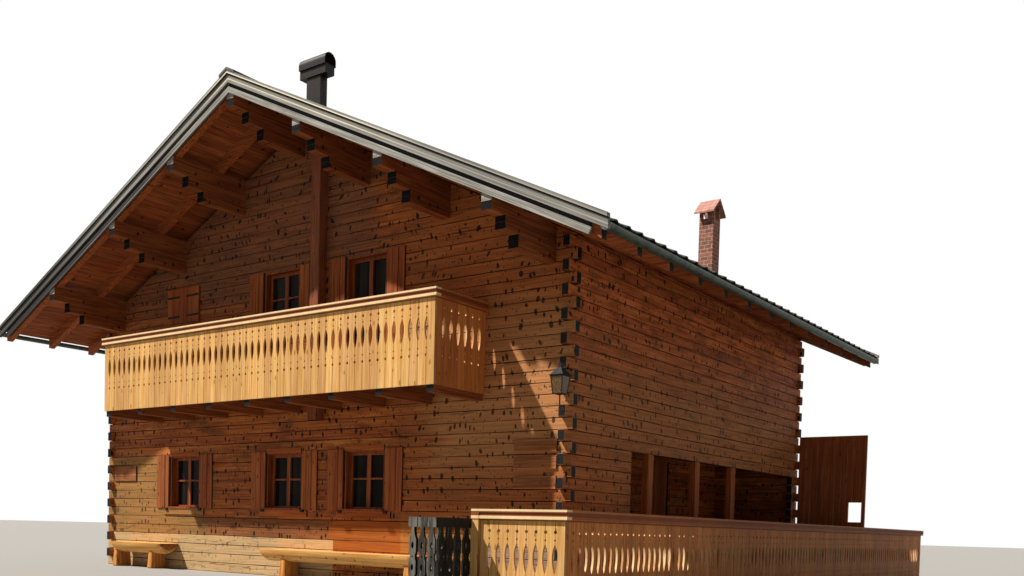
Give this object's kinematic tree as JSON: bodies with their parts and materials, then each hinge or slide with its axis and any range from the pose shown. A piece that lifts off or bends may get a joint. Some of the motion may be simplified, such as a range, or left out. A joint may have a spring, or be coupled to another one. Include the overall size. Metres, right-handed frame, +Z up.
{
  "type": "alpine chalet",
  "caption": "Two-storey squared-log chalet with a wide gable roof on stepped purlin consoles, sawn-baluster balcony, recessed side porch, benches and a fenced side terrace.",
  "frame": {"origin": "underside of the ground floor slab, under the middle of the house plan", "axes": "+Z up; the balcony gable faces -Y; the fenced terrace is on the +X side"},
  "size_m": [13.488, 15.53, 8.6267],
  "materials": {
    "larch_logs": "aged squared larch logs, dark axe marks, bevelled joints",
    "larch_boards": "aged larch boards, oiled",
    "new_larch": "pale new larch, sawn",
    "soffit_boards": "reddish-brown stained boards",
    "window_wood": "dark brown stained frames",
    "floor_timber": "worn floor boards",
    "weathered_boards": "silver-grey weathered boards",
    "roof_tiles": "dark interlocking roof tiles",
    "gutter_metal": "dark green-grey painted sheet",
    "glass": "clear window glass over a dark room",
    "black_boards": "black stained boards",
    "flue_metal": "dark brown sheet metal",
    "brick": "red fired clay",
    "concrete": "plain concrete"
  },
  "bodies": {
    "root": {"ground_floor": "concrete", "upper_floor": "floor_timber", "front_wall": "larch_logs", "rear_wall": "larch_logs", "left_wall": "larch_logs", "right_wall_lower": "larch_logs", "right_wall_upper": "larch_logs", "right_wall_corner": "larch_logs", "porch_side_wall": "larch_logs", "porch_cross_wall": "larch_logs", "porch_posts": "larch_logs", "porch_door": "larch_boards", "ridge_purlin": "larch_logs", "purlins_left": "larch_logs", "purlins_right": "larch_logs", "rafters_left": "larch_logs", "rafters_right": "larch_logs", "roof_boards_left": "soffit_boards", "roof_boards_right": "soffit_boards", "roof_tiles_left": "roof_tiles", "roof_tiles_right": "roof_tiles", "ridge_cap": "roof_tiles", "verge_boards_left": "weathered_boards", "verge_boards_right": "weathered_boards", "gutter_left": "gutter_metal", "gutter_right": "gutter_metal", "balcony_floor": "floor_timber", "balcony_joists": "floor_timber", "balcony_front": "new_larch", "balcony_left": "new_larch", "balcony_right": "new_larch", "gable_post": "larch_logs", "windows_front": "window_wood", "window_trims": "larch_boards", "glass_front": "glass", "shutters_front": "larch_boards", "shutters_left": "larch_boards", "shutters_rear": "larch_boards", "bench_left": "new_larch", "bench_right": "new_larch", "bench_feet": "new_larch", "fence_front": "new_larch", "fence_side": "new_larch", "fence_rear": "new_larch", "stand_ends": "black_boards", "stand_sides": "black_boards", "stand_top": "black_boards", "terrace_deck": "floor_timber", "wind_screen": "larch_boards", "metal_chimney": "flue_metal", "brick_chimney": "brick", "chimney_cap": "brick", "lantern": "flue_metal", "name_boards": "larch_boards", "plaque": "new_larch"}
  },
  "joints": []
}
